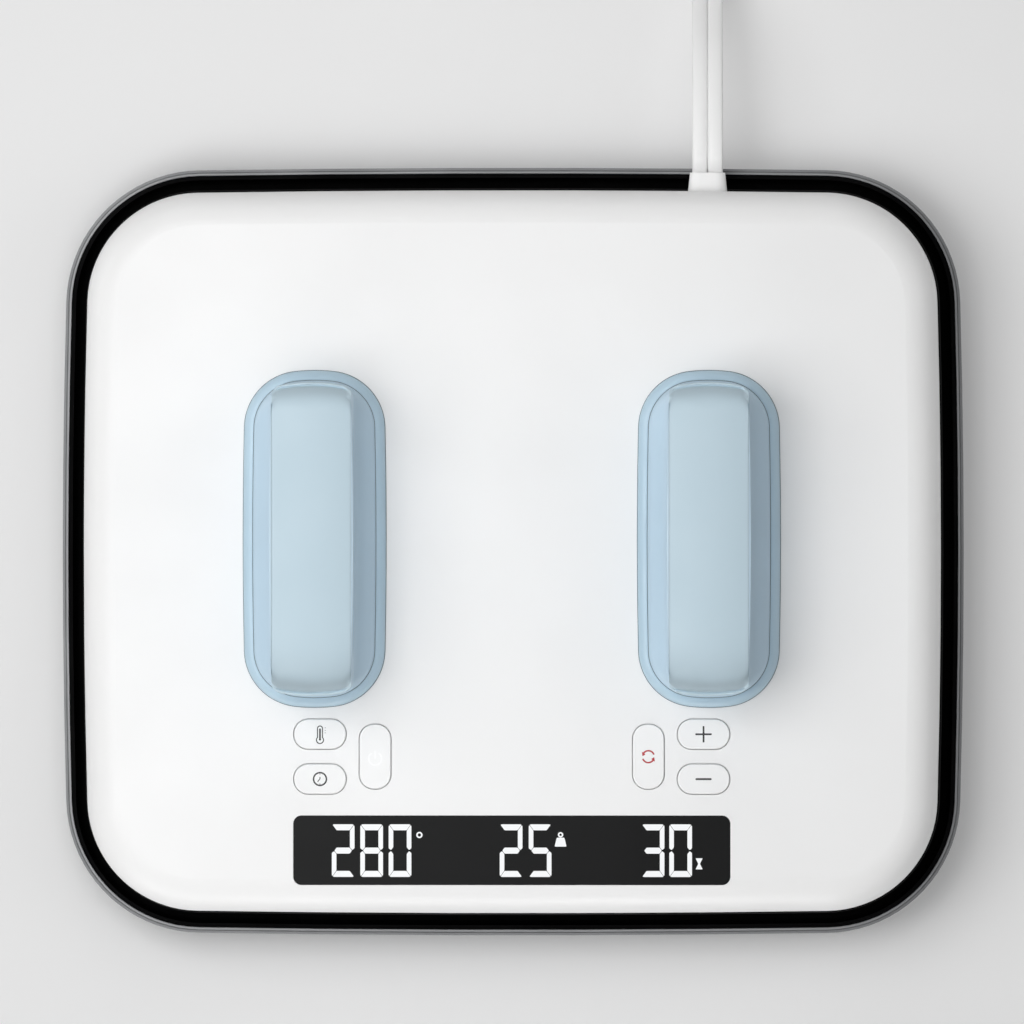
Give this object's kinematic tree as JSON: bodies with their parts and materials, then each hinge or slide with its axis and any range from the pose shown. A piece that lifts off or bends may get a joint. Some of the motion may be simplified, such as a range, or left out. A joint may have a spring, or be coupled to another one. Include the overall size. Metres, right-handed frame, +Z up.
{
  "type": "portable heat press",
  "caption": "Flat electric heat press with two bar handles, front display and buttons, resting in a shallow insulated base, with a flat mains lead coiled behind it.",
  "frame": {"origin": "centre of the base's footprint, on the table that its feet stand on", "axes": "+X to the right as the display is read, +Y to the rear where the cord leaves, +Z up"},
  "size_m": [0.3438, 0.5282, 0.12],
  "materials": {
    "grey_shell": "moulded, satin",
    "felt": "needled insulating felt",
    "black_liner": "moulded heat-proof nylon, fine texture",
    "silicone": "moulded silicone",
    "steel": "zinc plated",
    "foot_rubber": "moulded, matt",
    "plate": "cast, with a baked dark non-stick face",
    "element_sheath": "drawn tube, oxidised",
    "ceramic": "steatite ceramic with metal tabs",
    "sensor_metal": "pressed case",
    "blanket": "ceramic fibre board",
    "shield_steel": "pressed sheet, bright",
    "gloss_black": "moulded, polished",
    "cover_white": "moulded, soft satin",
    "frame_steel": "laser cut, zinc plated",
    "cell_alloy": "machined",
    "handle_blue": "moulded, satin",
    "pad_blue": "soft-touch overmould, matt",
    "button_white": "moulded, satin, with printed marks",
    "switch_black": "moulded",
    "lens_black": "smoked acrylic",
    "gasket": "closed-cell foam",
    "module_black": "moulded reflector block",
    "board_green": "glass epoxy with solder mask",
    "ribbon_grey": "extruded flat cable",
    "lead_sleeve": "woven glass sleeve",
    "relay_blue": "moulded case",
    "sink_alloy": "extruded, anodised",
    "block_white": "moulded nylon",
    "lead_colour": "extruded sleeve",
    "boot_white": "moulded, soft",
    "cord_white": "extruded, soft satin",
    "tie_white": "soft band",
    "plug_white": "moulded on, satin",
    "blade_nickel": "nickel plated"
  },
  "bodies": {
    "base": {"base_shell": "grey_shell", "base_felt": "felt", "base_liner": "black_liner", "rest_pads": "silicone", "pad_screws": "steel", "base_feet": "foot_rubber", "cord_stretch": "cord_white", "cord_coil": "cord_white", "cord_tail": "cord_white", "cord_tie": "tie_white", "plug_body": "plug_white", "plug_blades": "blade_nickel"},
    "press": {"heat_plate": "plate", "heating_element": "element_sheath", "element_terminals": "ceramic", "temperature_sensor": "sensor_metal", "thermal_cutout": "sensor_metal", "thermal_fuse": "sensor_metal", "plate_insulation": "blanket", "heat_shield": "shield_steel", "plate_spacers": "ceramic", "plate_screws": "steel", "lower_housing": "gloss_black", "cover_screws": "steel", "top_cover": "cover_white", "load_frame": "frame_steel", "load_cells": "cell_alloy", "load_screws": "steel", "handle_base_left": "handle_blue", "handle_base_right": "handle_blue", "handle_grip_left": "handle_blue", "handle_grip_right": "handle_blue", "handle_pad_left": "pad_blue", "handle_pad_right": "pad_blue", "handle_bolts_left": "steel", "handle_bolts_right": "steel", "button_switches": "switch_black", "display_lens": "lens_black", "display_gasket": "gasket", "display_module": "module_black", "control_board": "board_green", "buzzer": "switch_black", "ribbon_cable": "ribbon_grey", "sensor_lead": "lead_sleeve", "power_board": "board_green", "power_relay": "relay_blue", "triac": "switch_black", "heat_sink": "sink_alloy", "terminal_block": "block_white", "board_screws": "steel", "mains_leads": "lead_colour", "heater_leads": "lead_sleeve", "cord_boot": "boot_white", "cord_clamp": "block_white"},
    "button_temperature_cap": {"button_temperature": "button_white"},
    "button_timer_cap": {"button_timer": "button_white"},
    "button_power_cap": {"button_power": "button_white"},
    "button_mode_cap": {"button_mode": "button_white"},
    "button_plus_cap": {"button_plus": "button_white"},
    "button_minus_cap": {"button_minus": "button_white"}
  },
  "joints": [
    {"name": "press_lift", "type": "slide", "parent": "base", "child": "press", "axis": [0, 0, 1], "range_m": [0, 0.1]},
    {"name": "button_temperature_press", "type": "slide", "parent": "press", "child": "button_temperature_cap", "axis": [0, 0, -1], "range_m": [0, 0.0008], "stiffness_N_per_m": 1200, "springref_m": -0.0004},
    {"name": "button_timer_press", "type": "slide", "parent": "press", "child": "button_timer_cap", "axis": [0, 0, -1], "range_m": [0, 0.0008], "stiffness_N_per_m": 1200, "springref_m": -0.0004},
    {"name": "button_power_press", "type": "slide", "parent": "press", "child": "button_power_cap", "axis": [0, 0, -1], "range_m": [0, 0.0008], "stiffness_N_per_m": 1200, "springref_m": -0.0004},
    {"name": "button_mode_press", "type": "slide", "parent": "press", "child": "button_mode_cap", "axis": [0, 0, -1], "range_m": [0, 0.0008], "stiffness_N_per_m": 1200, "springref_m": -0.0004},
    {"name": "button_plus_press", "type": "slide", "parent": "press", "child": "button_plus_cap", "axis": [0, 0, -1], "range_m": [0, 0.0008], "stiffness_N_per_m": 1200, "springref_m": -0.0004},
    {"name": "button_minus_press", "type": "slide", "parent": "press", "child": "button_minus_cap", "axis": [0, 0, -1], "range_m": [0, 0.0008], "stiffness_N_per_m": 1200, "springref_m": -0.0004}
  ]
}
